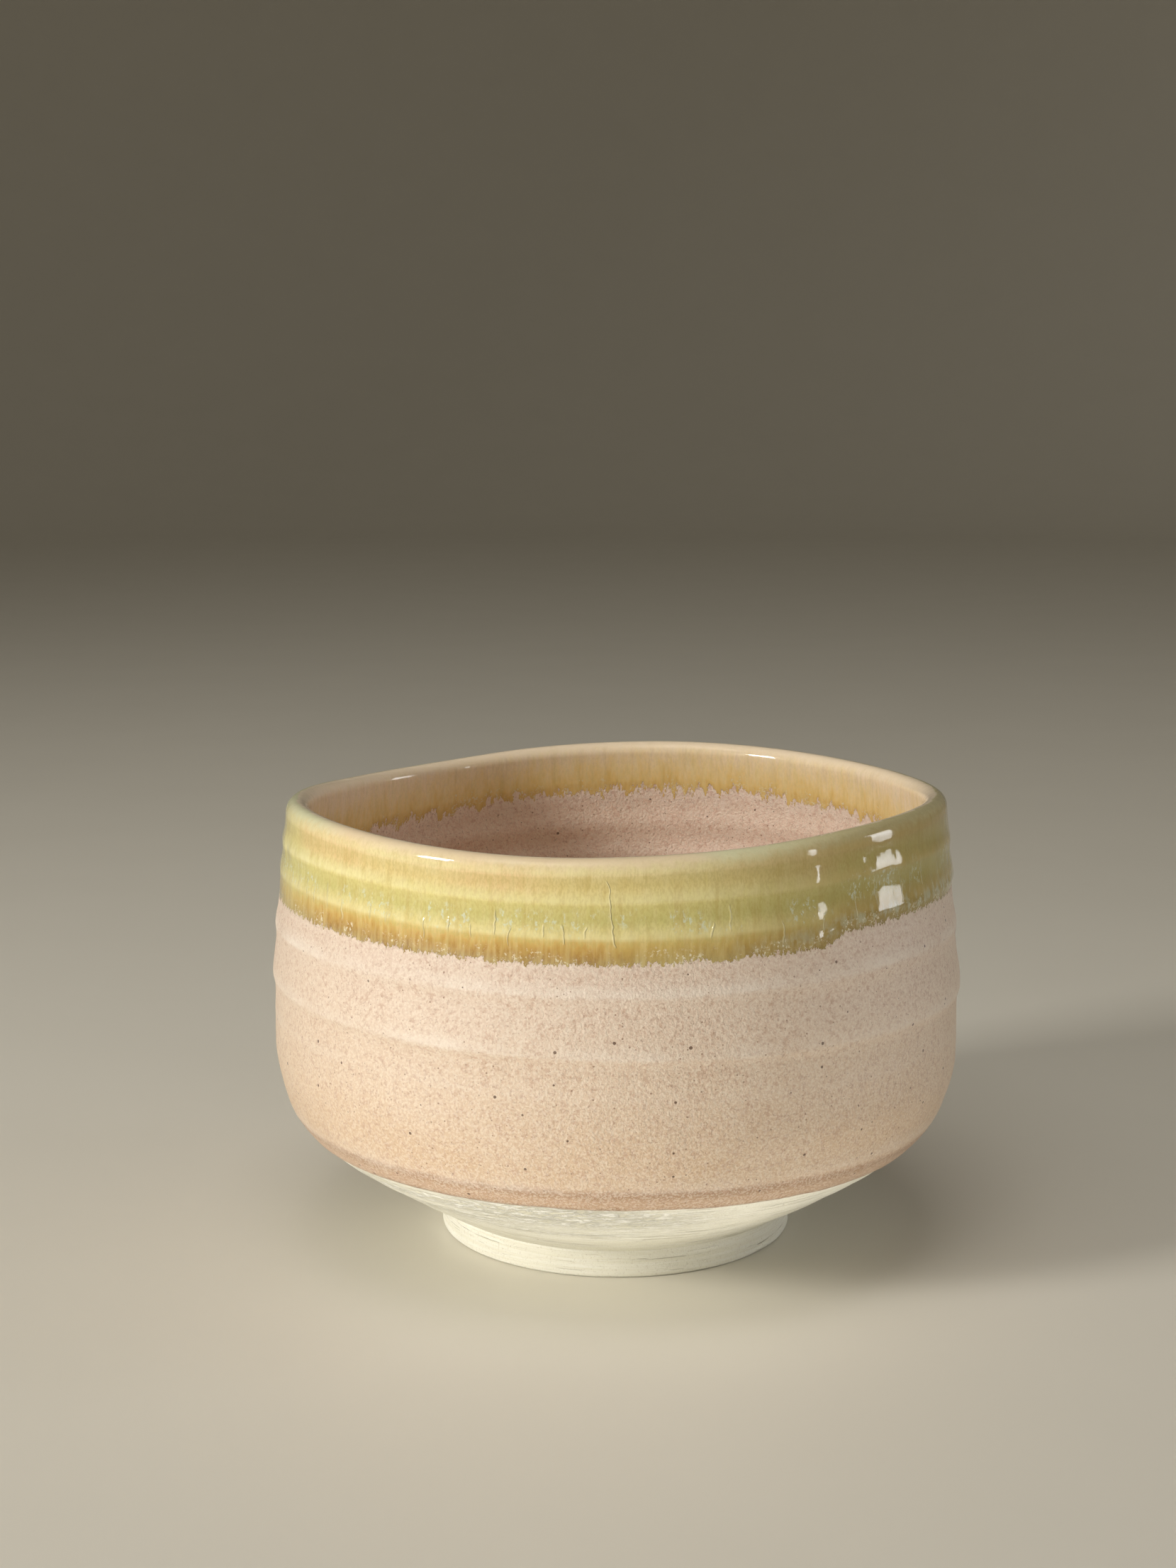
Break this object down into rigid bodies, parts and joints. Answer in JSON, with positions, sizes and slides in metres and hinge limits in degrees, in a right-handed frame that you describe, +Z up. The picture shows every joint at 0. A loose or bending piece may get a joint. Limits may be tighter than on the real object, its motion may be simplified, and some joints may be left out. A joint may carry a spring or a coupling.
{
  "type": "matcha bowl",
  "caption": "Round hand-thrown tea bowl with an upright wall, a softly waving lip, a glossy dipped rim over matte coats, and a bare clay foot ring.",
  "frame": {"origin": "middle of the bowl's footprint, on the plane of the foot ring's standing face", "axes": "+Z up along the bowl's turning axis, +X towards the side where the rim is highest, -Y towards the viewer's side of the picture"},
  "size_m": [0.1198, 0.1205, 0.0788],
  "materials": {
    "bare_clay": "unglazed, trimmed, slightly rough",
    "matte_glaze": "matte, speckled, grainy",
    "gloss_glaze": "glossy, crackled, runny"
  },
  "bodies": {
    "root": {"clay_body": "bare_clay", "foot_ring": "bare_clay", "outer_coat": "matte_glaze", "inner_coat": "matte_glaze", "rim_coat": "gloss_glaze"}
  },
  "joints": []
}
